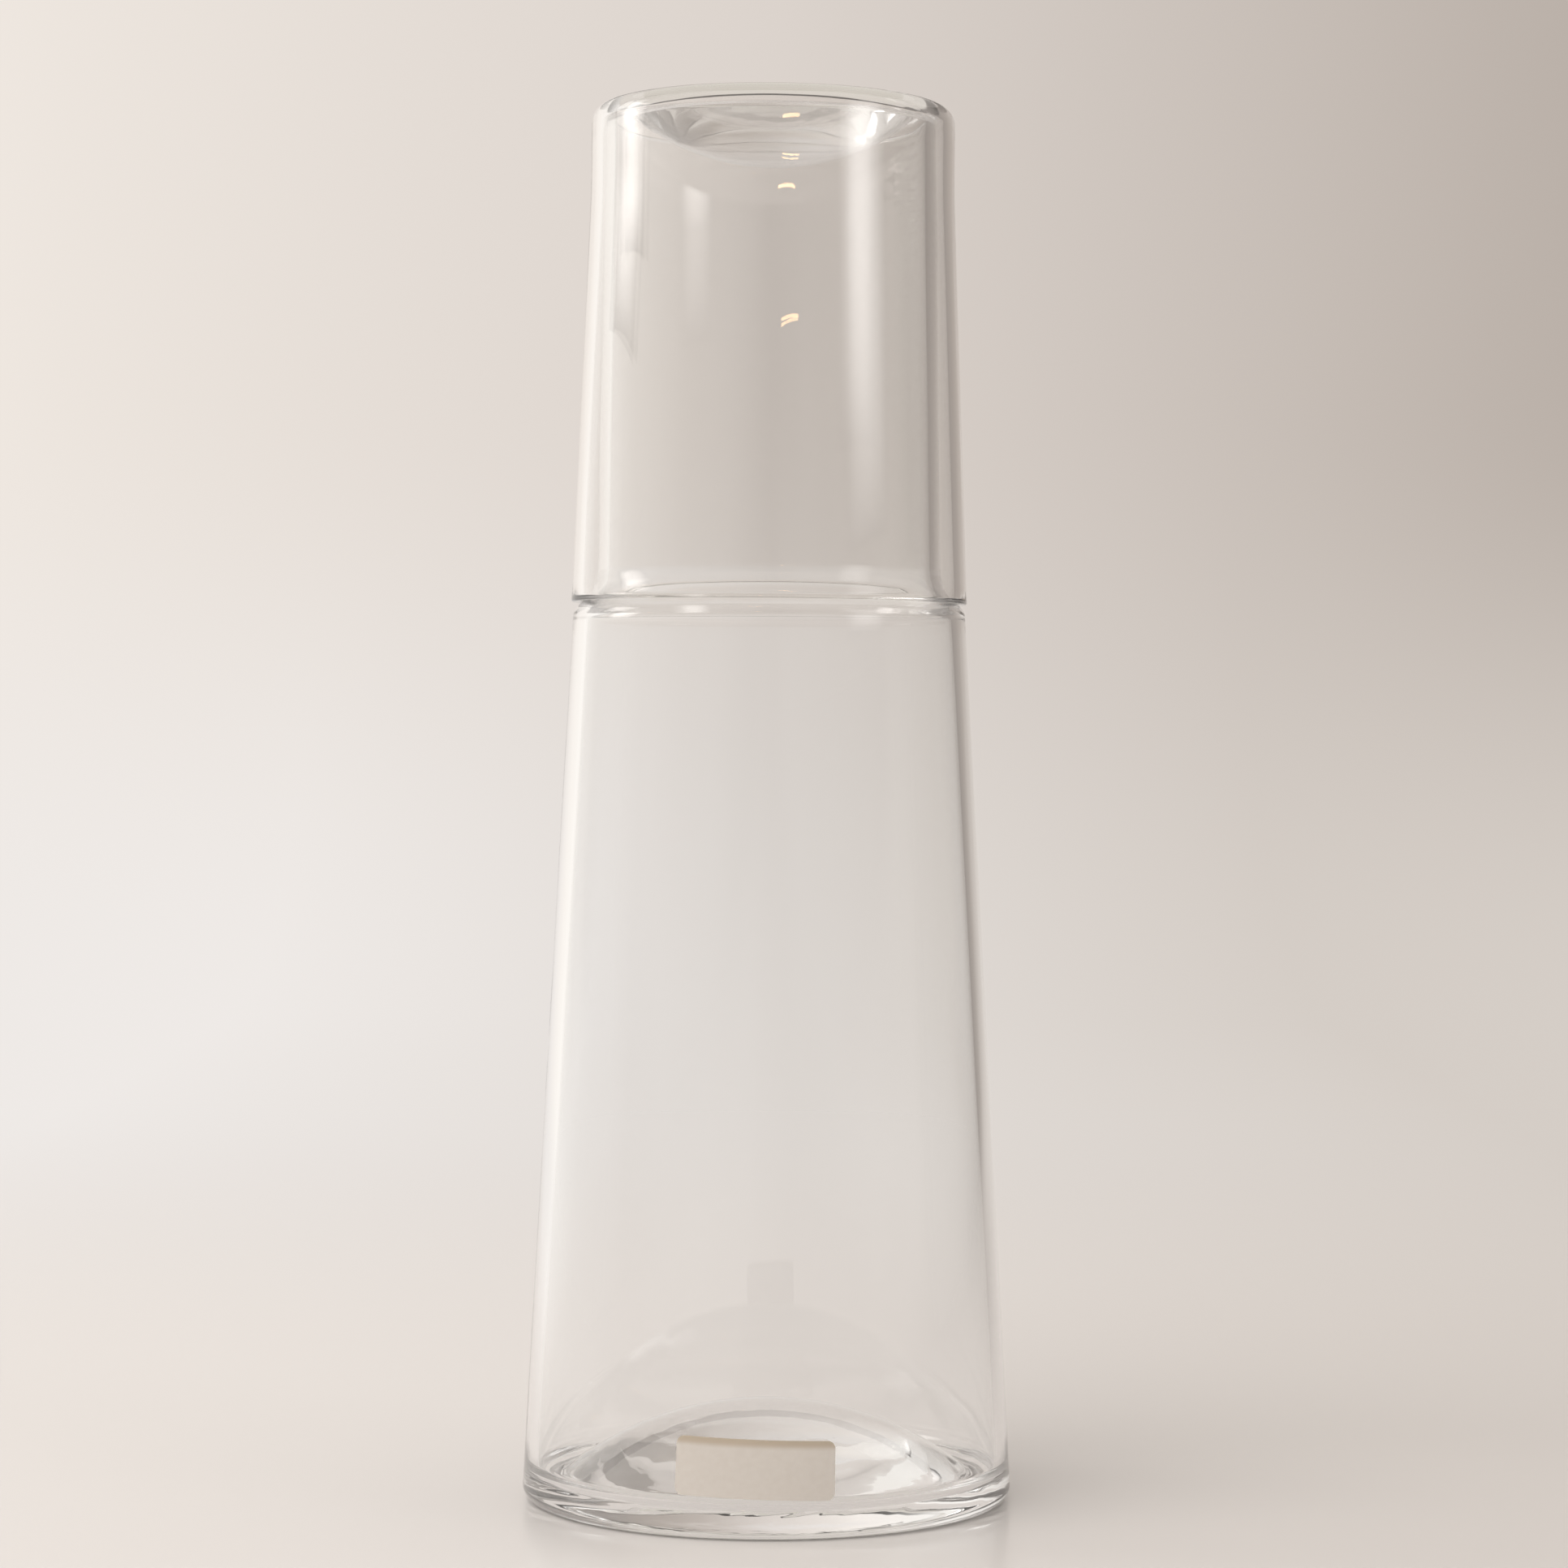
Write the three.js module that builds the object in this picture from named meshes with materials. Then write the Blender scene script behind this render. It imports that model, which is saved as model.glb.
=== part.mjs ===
// A blown-glass carafe whose tumbler stands upside down over its neck, with a small paper label on the front.
// Millimetres, +Z up, the origin at the middle of the carafe's standing ring, the label on the -Y side.
import * as THREE from "three";

// Carafe body
const FOOT_RADIUS = 42.5; // outer radius just above the heel
const HEEL_RADIUS = 2.5; // rounding between the wall and the standing ring
const BODY_WALL = 2.35;
const SHOULDER_RADIUS = 34.1; // outer radius where the tapered body ends
const SHOULDER_HEIGHT = 154.25;
const SHOULDER_SLOPE = 48; // degrees below level, going outwards
const SHOULDER_EDGE_RADIUS = 2.5;

// Carafe neck
const NECK_FOOT_RADIUS = 29.9;
const NECK_COVE_RADIUS = 7; // hollow rounding between the shoulder and the neck
const NECK_MOUTH_RADIUS = 28.8;
const NECK_WALL = 1.9;
const MOUTH_HEIGHT = 239;

// Lips of the mouth and of the tumbler: flat, with a small rounding outside and a larger one inside
const LIP_OUTER_ROUNDING = 0.4;
const LIP_INNER_ROUNDING = 1;

// Carafe base
const STANDING_RING = 2.4; // width of the flat ring that the carafe stands on
const PUNT_EDGE_RADIUS = 4; // rounding between the standing ring and the hollow under the base
const PUNT_DEPTH = 8;
const FLOOR_THICKNESS = 4.3; // at the lowest ring of the inside floor
const FLOOR_CORNER_RADIUS = 3;
const FLOOR_DOME_RISE = 12.4;

// Tumbler
const TUMBLER_WALL = 2;
const TUMBLER_HEEL_RADIUS = 3.2;
const TUMBLER_STANDING_RING = 1.5;
const TUMBLER_PUNT_EDGE_RADIUS = 2.5;
const TUMBLER_PUNT_DEPTH = 7.4;
const TUMBLER_FLOOR = 1; // at the ring of the inside floor nearest to its foot
const TUMBLER_CORNER_RADIUS = 2.6;
const TUMBLER_DOME_RISE = 9.4;
const TUMBLER_EVEN_HEIGHT = 15; // the stretch above its foot that doesn't widen yet
const TUMBLER_BEND_RADIUS = 200; // from that stretch into the widening wall

// How the tumbler sits on the carafe
const RIM_OVERHANG = 0.35; // the tumbler's rim past the edge of the shoulder
const NECK_CLEARANCE = 0.8; // between the mouth and the tumbler's wall
const MOUTH_CLEARANCE = 2; // between the mouth and the tumbler's floor
const SEAT_GAP = 0.15; // between the tumbler's rim and the shoulder

// Label
const LABEL_WIDTH = 27;
const LABEL_HEIGHT = 9.8;
const LABEL_CORNER_RADIUS = 1.3;
const LABEL_THICKNESS = 0.2;
const LABEL_GAP = 0.2; // the layer of glue
const LABEL_MIDDLE_HEIGHT = 11.9;
const LABEL_TURN = -2.4; // degrees about the axis, to the left of the front
const LABEL_TILT = -1.7; // degrees, its right end lower

// How finely round stretches are cut
const TURN_SIDES = 48;
const ARC_STEP = 15; // degrees
const DOME_STEPS = 6;
const LABEL_COLUMNS = 16;
const LABEL_ROWS = 4;
const LABEL_CORNER_STEPS = 4;

const carafeGlass = new THREE.MeshStandardMaterial({ color: 0xf2f4f2, roughness: 0.03, metalness: 0 });
const tumblerGlass = new THREE.MeshStandardMaterial({ color: 0xf4f5f4, roughness: 0.03, metalness: 0 });
const labelPaper = new THREE.MeshStandardMaterial({ color: 0xe0d8c8, roughness: 0.6, metalness: 0 });

const { degToRad, radToDeg, clamp, mapLinear } = THREE.MathUtils;
const point = (radius, height) => new THREE.Vector2(radius, height);

// The points of an arc about a centre, from one angle to another in degrees. 0 is outwards and 90 is up.
function arc(centre, radius, from, to, least = 1) {
  const steps = Math.max(least, Math.ceil(Math.abs(to - from) / ARC_STEP));
  return Array.from({ length: steps + 1 }, (_, i) => {
    const angle = degToRad(from + ((to - from) * i) / steps);
    return point(centre.x + radius * Math.cos(angle), centre.y + radius * Math.sin(angle));
  });
}

// A corner between two straight lines, rounded by an arc that is tangent to both.
function roundedCorner(before, corner, after, radius) {
  const back = before.clone().sub(corner).normalize();
  const on = after.clone().sub(corner).normalize();
  const half = Math.acos(clamp(back.dot(on), -1, 1)) / 2;
  const bisector = back.clone().add(on).normalize();
  const centre = corner.clone().addScaledVector(bisector, radius / Math.sin(half));
  const start = corner.clone().addScaledVector(back, radius / Math.tan(half)).sub(centre);
  const end = corner.clone().addScaledVector(on, radius / Math.tan(half)).sub(centre);
  const from = radToDeg(start.angle());
  let turn = radToDeg(end.angle()) - from;
  if (turn > 180) turn -= 360;
  if (turn < -180) turn += 360;
  return arc(centre, radius, from, from + turn, 2);
}

// A flat lip with both of its corners rounded.
function flatLip(before, outer, inner, after) {
  return [
    ...roundedCorner(before, outer, inner, LIP_OUTER_ROUNDING),
    ...roundedCorner(outer, inner, after, LIP_INNER_ROUNDING),
  ];
}

// A pushed-up floor, from its lowest ring to the axis: a rounded edge that runs into a round dome.
function pushedUp(ringRadius, level, edgeRadius, rise) {
  const domeRadius = (ringRadius ** 2 - 2 * edgeRadius * rise + rise ** 2) / (2 * rise);
  const spread = radToDeg(Math.asin(ringRadius / (domeRadius + edgeRadius)));
  const edge = arc(point(ringRadius, level + edgeRadius), edgeRadius, -90, -90 - spread);
  const dome = arc(point(0, level + rise - domeRadius), domeRadius, 90 - spread, 90, DOME_STEPS);
  return [...edge, ...dome.slice(1)];
}

// The inside of a vessel's foot: from its wall round the corner and over the pushed-up floor.
function insideFloor(low, high, level, cornerRadius, rise) {
  const lean = Math.atan2(low.x - high.x, high.y - low.y);
  const wall = mapLinear(level + cornerRadius, low.y, high.y, low.x, high.x);
  const ringRadius = wall - cornerRadius / Math.cos(lean);
  const corner = arc(point(ringRadius, level + cornerRadius), cornerRadius, radToDeg(lean), -90);
  return [...corner, ...pushedUp(ringRadius, level, cornerRadius, rise).slice(1)];
}

// The outside of a vessel's foot: from the axis under the pushed-up base, over the standing ring, to the heel.
function outsideFoot(radius, heelRadius, ring, edgeRadius, depth) {
  const heelStart = radius - heelRadius;
  return [
    ...pushedUp(heelStart - ring, 0, edgeRadius, depth).reverse(),
    ...arc(point(heelStart, heelRadius), heelRadius, -90, 0),
  ];
}

// Carafe: the outer corners before rounding
const slope = degToRad(SHOULDER_SLOPE);
const slopeOutward = point(Math.sin(slope), Math.cos(slope)); // square to the shoulder, away from the glass
const bodyLow = point(FOOT_RADIUS, HEEL_RADIUS);
const bodyHigh = point(SHOULDER_RADIUS, SHOULDER_HEIGHT);
const neckRise = (SHOULDER_RADIUS - NECK_FOOT_RADIUS) * Math.tan(slope);
const neckLow = point(NECK_FOOT_RADIUS, SHOULDER_HEIGHT + neckRise);
const neckHigh = point(NECK_MOUTH_RADIUS, MOUTH_HEIGHT);
const bodyRadius = (height) => mapLinear(height, bodyLow.y, bodyHigh.y, bodyLow.x, bodyHigh.x);

// The inside follows the outside: the body and the shoulder by the body's wall, the neck by its own.
function carafeProfile() {
  const low = point(bodyLow.x - BODY_WALL, bodyLow.y);
  const shoulderDrop = (BODY_WALL * (1 - slopeOutward.x)) / slopeOutward.y;
  const high = point(bodyHigh.x - BODY_WALL, bodyHigh.y - shoulderDrop);
  const mouth = point(neckHigh.x - NECK_WALL, neckHigh.y);
  const footRadius = NECK_FOOT_RADIUS - NECK_WALL;
  const foot = point(footRadius, high.y + (high.x - footRadius) * Math.tan(slope));
  return [
    ...outsideFoot(FOOT_RADIUS, HEEL_RADIUS, STANDING_RING, PUNT_EDGE_RADIUS, PUNT_DEPTH),
    ...roundedCorner(bodyLow, bodyHigh, neckLow, SHOULDER_EDGE_RADIUS),
    ...roundedCorner(bodyHigh, neckLow, neckHigh, NECK_COVE_RADIUS),
    ...flatLip(neckLow, neckHigh, mouth, foot),
    ...roundedCorner(mouth, foot, high, NECK_COVE_RADIUS + NECK_WALL),
    ...roundedCorner(foot, high, low, SHOULDER_EDGE_RADIUS),
    ...insideFloor(low, high, FLOOR_THICKNESS, FLOOR_CORNER_RADIUS, FLOOR_DOME_RISE),
  ];
}

// Tumbler: its rim hangs over the shoulder's edge, the rounding inside the rim rests on the slope
const rimRadius = SHOULDER_RADIUS + RIM_OVERHANG;
const seatOut = rimRadius - TUMBLER_WALL + LIP_INNER_ROUNDING - SHOULDER_RADIUS;
const seatReach = LIP_INNER_ROUNDING + SEAT_GAP - seatOut * slopeOutward.x;
const seatHeight = SHOULDER_HEIGHT + seatReach / slopeOutward.y - LIP_INNER_ROUNDING;
const tumblerRadius = NECK_MOUTH_RADIUS + NECK_CLEARANCE + TUMBLER_WALL;
const tumblerTop = MOUTH_HEIGHT + MOUTH_CLEARANCE + TUMBLER_FLOOR;

// The tumbler the right way up, standing on its foot at height 0.
function tumblerProfile() {
  const rimHeight = tumblerTop - seatHeight;
  const wall = (inset) => ({
    foot: point(tumblerRadius - inset, 0),
    bend: point(tumblerRadius - inset, TUMBLER_EVEN_HEIGHT),
    rim: point(rimRadius - inset, rimHeight),
  });
  const outside = wall(0);
  const inside = wall(TUMBLER_WALL);
  return [
    ...outsideFoot(
      tumblerRadius,
      TUMBLER_HEEL_RADIUS,
      TUMBLER_STANDING_RING,
      TUMBLER_PUNT_EDGE_RADIUS,
      TUMBLER_PUNT_DEPTH,
    ),
    ...roundedCorner(outside.foot, outside.bend, outside.rim, TUMBLER_BEND_RADIUS),
    ...flatLip(outside.bend, outside.rim, inside.rim, inside.bend),
    ...roundedCorner(inside.rim, inside.bend, inside.foot, TUMBLER_BEND_RADIUS),
    ...insideFloor(inside.foot, inside.bend, TUMBLER_FLOOR, TUMBLER_CORNER_RADIUS, TUMBLER_DOME_RISE),
  ];
}

// Turns a profile about the Z axis. It runs up the outside and down the inside, so the faces point out.
function turned(name, profile, material) {
  const geometry = new THREE.LatheGeometry(profile, TURN_SIDES);
  geometry.rotateX(Math.PI / 2);
  const mesh = new THREE.Mesh(geometry, material);
  mesh.name = name;
  return mesh;
}

// Label: a thin sheet with rounded corners, wrapped on to the tapered body and a little askew
function labelColumns() {
  const straight = LABEL_WIDTH / 2 - LABEL_CORNER_RADIUS;
  const corner = Array.from(
    { length: LABEL_CORNER_STEPS },
    (_, i) => straight + LABEL_CORNER_RADIUS * Math.sin((Math.PI / 2) * ((i + 1) / LABEL_CORNER_STEPS)),
  );
  const middle = Array.from({ length: LABEL_COLUMNS + 1 }, (_, i) => straight * ((2 * i) / LABEL_COLUMNS - 1));
  return [...corner.map((along) => -along).reverse(), ...middle, ...corner];
}

// Half the label's height at a place along it, less near its rounded corners.
function labelReach(along) {
  const intoCorner = Math.max(0, Math.abs(along) - (LABEL_WIDTH / 2 - LABEL_CORNER_RADIUS));
  const rounding = Math.sqrt(Math.max(0, LABEL_CORNER_RADIUS ** 2 - intoCorner ** 2));
  return LABEL_HEIGHT / 2 - LABEL_CORNER_RADIUS + rounding;
}

function onBody(along, up, lift) {
  const tilt = degToRad(LABEL_TILT);
  const height = LABEL_MIDDLE_HEIGHT + along * Math.sin(tilt) + up * Math.cos(tilt);
  const round = along * Math.cos(tilt) - up * Math.sin(tilt);
  const angle = degToRad(LABEL_TURN - 90) + round / bodyRadius(LABEL_MIDDLE_HEIGHT);
  const radius = bodyRadius(height) + lift;
  return [radius * Math.cos(angle), radius * Math.sin(angle), height];
}

// A grid of points on the glue side and one on the face, joined round the edge.
function wrappedLabel() {
  const columns = labelColumns();
  const last = columns.length - 1;
  const positions = [];
  for (const lift of [LABEL_GAP, LABEL_GAP + LABEL_THICKNESS])
    for (const along of columns)
      for (let row = 0; row <= LABEL_ROWS; row++)
        positions.push(...onBody(along, labelReach(along) * ((2 * row) / LABEL_ROWS - 1), lift));
  const back = (column, row) => column * (LABEL_ROWS + 1) + row;
  const face = (column, row) => back(column + columns.length, row);
  const faces = [];
  const quad = (a, b, c, d) => faces.push(a, b, c, a, c, d);
  for (let c = 0; c < last; c++) {
    for (let r = 0; r < LABEL_ROWS; r++) {
      quad(face(c, r), face(c + 1, r), face(c + 1, r + 1), face(c, r + 1));
      quad(back(c, r), back(c, r + 1), back(c + 1, r + 1), back(c + 1, r));
    }
    quad(back(c, 0), back(c + 1, 0), face(c + 1, 0), face(c, 0));
    quad(face(c, LABEL_ROWS), face(c + 1, LABEL_ROWS), back(c + 1, LABEL_ROWS), back(c, LABEL_ROWS));
  }
  for (let r = 0; r < LABEL_ROWS; r++) {
    quad(back(0, r + 1), back(0, r), face(0, r), face(0, r + 1));
    quad(back(last, r), back(last, r + 1), face(last, r + 1), face(last, r));
  }
  const geometry = new THREE.BufferGeometry();
  geometry.setAttribute("position", new THREE.Float32BufferAttribute(positions, 3));
  geometry.setIndex(faces);
  geometry.computeVertexNormals();
  const mesh = new THREE.Mesh(geometry, labelPaper);
  mesh.name = "label";
  return mesh;
}

const carafe = turned("carafe", carafeProfile(), carafeGlass);
const tumbler = turned("tumbler", tumblerProfile(), tumblerGlass);
tumbler.rotation.x = Math.PI;
tumbler.position.z = tumblerTop;

const part = new THREE.Group();
part.add(carafe, tumbler, wrappedLabel());

export default part;
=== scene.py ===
# %% [markdown]
# # A glass carafe with its tumbler
# The object is a set for a bedside table: a tall blown carafe, a tumbler that stands upside down over its
# neck as a lid, and a small paper label near the foot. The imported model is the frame. It says what moves,
# how big each piece is and where it sits, and this lesson makes the fine surfaces that clear glass needs.

# %% Load the frame
import math

import bmesh
import bpy
from mathutils import Euler, Matrix, Vector, noise


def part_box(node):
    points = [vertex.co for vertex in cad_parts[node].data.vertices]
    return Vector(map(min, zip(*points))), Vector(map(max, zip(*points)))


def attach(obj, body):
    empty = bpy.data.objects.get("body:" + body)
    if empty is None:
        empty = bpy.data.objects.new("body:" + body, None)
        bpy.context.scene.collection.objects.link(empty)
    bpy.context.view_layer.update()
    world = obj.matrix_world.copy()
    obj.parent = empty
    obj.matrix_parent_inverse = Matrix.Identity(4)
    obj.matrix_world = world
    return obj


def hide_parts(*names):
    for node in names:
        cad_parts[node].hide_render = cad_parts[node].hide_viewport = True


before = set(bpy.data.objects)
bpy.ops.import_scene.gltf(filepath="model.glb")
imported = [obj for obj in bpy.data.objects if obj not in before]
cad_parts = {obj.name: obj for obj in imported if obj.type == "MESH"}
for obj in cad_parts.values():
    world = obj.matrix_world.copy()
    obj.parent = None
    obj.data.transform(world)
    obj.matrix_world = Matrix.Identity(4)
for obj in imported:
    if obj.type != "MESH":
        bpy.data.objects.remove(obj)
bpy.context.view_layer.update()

print("nodes:", sorted(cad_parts))

# %% [markdown]
# ## Sizes
# The overall sizes are read from the frame, so the glass made here stays where the solids are. Wall
# thicknesses and roundings are written down in millimetres, as on a maker's drawing, and turned into
# metres.

# %% Sizes from the frame
MM = 0.001
foot_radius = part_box("carafe")[1].x
mouth_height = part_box("carafe")[1].z
rim_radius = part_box("tumbler")[1].x
rim_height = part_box("tumbler")[0].z
tumbler_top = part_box("tumbler")[1].z
print(f"carafe: foot {2 * foot_radius / MM:.1f} mm across, mouth {mouth_height / MM:.1f} mm up")
print(f"tumbler: rim {2 * rim_radius / MM:.1f} mm across and {rim_height / MM:.1f} mm up")
print(f"top of the set: {tumbler_top / MM:.1f} mm")

# %% [markdown]
# ## Drawing half an outline
# A blown vessel is round, so half of its section says everything about it. The section could be typed in as
# a long list of points. It is clearer to draw it with a pen that knows three strokes: straight on, round a
# centre, and round a corner. Each stroke is a bmesh operator on the outline's last vertex: extrude makes
# the straight steps, and spin makes the arcs. The steps are short, because glass shows every flat place.

# %% Places and straight strokes
WALL_STEP = 2.5 * MM


def at(radius, height):
    """A place on the outline: so far from the axis and so high."""
    return Vector((radius, 0, height))


def start(place):
    """A new outline and its first vertex."""
    outline = bmesh.new()
    return outline, outline.verts.new(place)


def straight(outline, tip, end):
    """Draws straight on to a place, in short steps, and returns the new tip."""
    begin = tip.co.copy()
    steps = max(1, math.ceil((end - begin).length / WALL_STEP))
    for step in range(1, steps + 1):
        tip = bmesh.ops.extrude_vert_indiv(outline, verts=[tip])["verts"][0]
        tip.co = begin.lerp(end, step / steps)
    return tip


print(f"longest step along a wall: {WALL_STEP / MM:.1f} mm")

# %% Bends and corners
ARC_STEP = math.radians(7.5)


def bend(outline, tip, centre, angle, longest=WALL_STEP):
    """Draws round a centre and returns the new tip. A positive angle turns left, seen from the front."""
    length = (tip.co - centre).length * abs(angle)
    steps = max(2, math.ceil(abs(angle) / ARC_STEP), math.ceil(length / longest))
    made = bmesh.ops.spin(outline, geom=[tip], cent=centre, axis=(0, -1, 0), angle=angle, steps=steps)
    return made["geom_last"][0]


def corner(outline, tip, peak, after, radius):
    """Draws straight towards a corner, rounds it towards the next place and returns the new tip."""
    back = (tip.co - peak).normalized()
    on = (after - peak).normalized()
    half = back.angle(on) / 2
    centre = peak + (back + on).normalized() * (radius / math.sin(half))
    tip = straight(outline, tip, peak + back * (radius / math.tan(half)))
    left = math.copysign(1, back.cross(on).y)
    return bend(outline, tip, centre, left * (math.pi - 2 * half))


print(f"longest step round a bend: {math.degrees(ARC_STEP):.1f} degrees")

# %% [markdown]
# The drawing starts on the axis under the foot, runs over the standing ring, up the outside, round the lip
# and down the inside, and ends on the axis again. The first and the last strokes are the same for both
# vessels: the hollow under a foot, and the floor that the same tool pushed up from below.

# %% Foot and lip strokes
DOME_STEP = 1 * MM
lip_outer = 0.4 * MM
lip_inner = 1 * MM


def dome(ring_radius, edge_radius, rise):
    """A pushed-up floor: the radius of its dome, and the angle at which its rounded edge meets the dome."""
    radius = (ring_radius**2 - 2 * edge_radius * rise + rise**2) / (2 * rise)
    return radius, math.asin(ring_radius / (radius + edge_radius))


def foot_strokes(radius, heel, ring, edge, depth, lean):
    """Starts an outline: the hollow under the foot, the flat standing ring and the round heel."""
    hollow = radius - heel - ring
    dome_radius, spread = dome(hollow, edge, depth)
    outline, tip = start(at(0, depth))
    tip = bend(outline, tip, at(0, depth - dome_radius), -spread, DOME_STEP)
    tip = bend(outline, tip, at(hollow, edge), spread)
    tip = straight(outline, tip, at(hollow + ring, 0))
    return outline, bend(outline, tip, at(radius - heel, heel), math.pi / 2 + lean)


def lip_strokes(outline, tip, outer, inner, after):
    """Draws up to a lip, over its flat top with both corners rounded, and on towards the next place."""
    tip = corner(outline, tip, outer, inner, lip_outer)
    return corner(outline, tip, inner, after, lip_inner)


print(f"lip: rounded by {lip_outer / MM:.1f} mm outside and {lip_inner / MM:.1f} mm inside")

# %% Floor strokes


def floor_strokes(outline, tip, high, low, level, edge, rise):
    """Ends an outline: down the inner wall, round the corner and over the pushed-up floor to the axis."""
    lean = math.atan2(low.x - high.x, high.z - low.z)
    wall_radius = low.x + (high.x - low.x) * (level + edge - low.z) / (high.z - low.z)
    ring = wall_radius - edge / math.cos(lean)
    dome_radius, spread = dome(ring, edge, rise)
    print(f"floor: a dome of {dome_radius / MM:.1f} mm radius in a ring of {ring / MM:.1f} mm")
    centre = at(ring, level + edge)
    tip = straight(outline, tip, centre + at(math.cos(lean), math.sin(lean)) * edge)
    tip = bend(outline, tip, centre, -(math.pi / 2 + lean + spread))
    tip = bend(outline, tip, at(0, level + rise - dome_radius), spread, DOME_STEP)
    tip.co.x = 0


# %% [markdown]
# ## Turning the outline
# Spinning the outline about the upright axis makes the glass, with its outer and its inner skin in one
# closed surface. One spin of 240 steps is slow, so a first spin makes one sector, and a second one copies
# that sector round. The seams and the stack of vertices on the axis are merged before the normals are
# worked out.

# %% Spin
SECTORS = 12
SECTOR_STEPS = 20
SEAM = 0.01 * MM


def turned(outline):
    """Spins an outline once round the axis into closed glass, sector by sector."""
    strokes = outline.verts[:] + outline.edges[:]
    bmesh.ops.spin(outline, geom=strokes, cent=(0, 0, 0), axis=(0, 0, 1), angle=math.tau / SECTORS,
                   steps=SECTOR_STEPS)
    sector = outline.verts[:] + outline.edges[:] + outline.faces[:]
    copies = SECTORS - 1
    bmesh.ops.spin(outline, geom=sector, cent=(0, 0, 0), axis=(0, 0, 1), angle=math.tau * copies / SECTORS,
                   steps=copies, use_duplicate=True)
    bmesh.ops.remove_doubles(outline, verts=outline.verts[:], dist=SEAM)
    bmesh.ops.recalc_face_normals(outline, faces=outline.faces[:])
    return outline


print(f"steps once round: {SECTORS * SECTOR_STEPS}")

# %% [markdown]
# ## Waves
# Blown glass is never quite even: breath, tools and the pull of gravity leave soft waves in it. A bump
# could hint at them, but uneven thickness is what bends the light. So a noise moves the skin itself along
# its normals by a few hundredths of a millimetre, with other waves on the inner skin than on the outer one.

# %% Waves in the walls
OTHER_SKIN = 50


def blow(glass, depth, waves_round, wave_length, still_height, shift):
    """Moves the walls along their normals by a soft noise, less and less below the still height."""
    glass.normal_update()
    for point in glass.verts:
        place = point.co
        reach = Vector((place.x, place.y, 0))
        round_place = reach.normalized() * (waves_round / math.tau)
        inner = point.normal.dot(reach) < 0
        seed = Vector((0, 0, shift + (OTHER_SKIN if inner else 0)))
        wave = noise.noise(round_place + Vector((0, 0, place.z / wave_length)) + seed)
        upright = 1 - point.normal.z**2
        point.co = place + point.normal * (depth * wave * upright * min(1, place.z / still_height))


# %% Swirl in the floor
swirl_top = 20 * MM
swirl_eye = 18 * MM


def swirl(glass, depth, waves_round, ring_width, twist, still_height, shift):
    """Moves the floor and the hollow under it by a noise whose waves wind round the axis in a spiral."""
    glass.normal_update()
    for point in glass.verts:
        place = point.co
        radius = math.hypot(place.x, place.y)
        angle = math.atan2(place.y, place.x) + twist * radius
        round_place = Vector((math.cos(angle), math.sin(angle), 0)) * (waves_round / math.tau)
        seed = Vector((0, 0, shift + (OTHER_SKIN if point.normal.z > 0 else 0)))
        wave = noise.noise(round_place + Vector((0, 0, radius / ring_width)) + seed)
        level = point.normal.z**2 * min(1, place.z / still_height) * (place.z < swirl_top)
        away = min(1, radius / swirl_eye) ** 2
        point.co = place + point.normal * (depth * wave * level * away)


print(f"swirl: below {swirl_top / MM:.0f} mm, calm towards the axis from {swirl_eye / MM:.0f} mm")

# %% Finished piece


def finished(name, glass):
    """Puts a bmesh into a smooth-shaded object of the scene."""
    mesh = bpy.data.meshes.new(name)
    glass.to_mesh(mesh)
    glass.free()
    mesh.shade_smooth()
    piece = bpy.data.objects.new(name, mesh)
    bpy.context.scene.collection.objects.link(piece)
    print(f"{name}: {len(mesh.vertices)} vertices, {len(mesh.polygons)} faces")
    return piece


# %% [markdown]
# ## The carafe
# The real carafe is one gather of glass, blown into a tapered body, drawn in over a sloping shoulder to a
# straight neck, and pushed up underneath so that it stands on a ring. It could be joined from a cone, a
# ring and a tube, but then light would catch on the joints inside the glass. One outline gives one skin.

# %% Carafe sizes
heel_radius = 2.5 * MM
body_wall = 2.35 * MM
shoulder_radius = 34.1 * MM
shoulder_height = 154.25 * MM
shoulder_slope = math.radians(48)
shoulder_edge = 2.5 * MM
neck_foot_radius = 29.9 * MM
neck_mouth_radius = 28.8 * MM
neck_cove = 7 * MM
neck_wall = 1.9 * MM
standing_ring = 2.4 * MM
punt_edge = 4 * MM
punt_depth = 8 * MM
floor_thickness = 4.3 * MM
floor_corner = 3 * MM
floor_rise = 12.4 * MM

# %% Carafe outline


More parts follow.
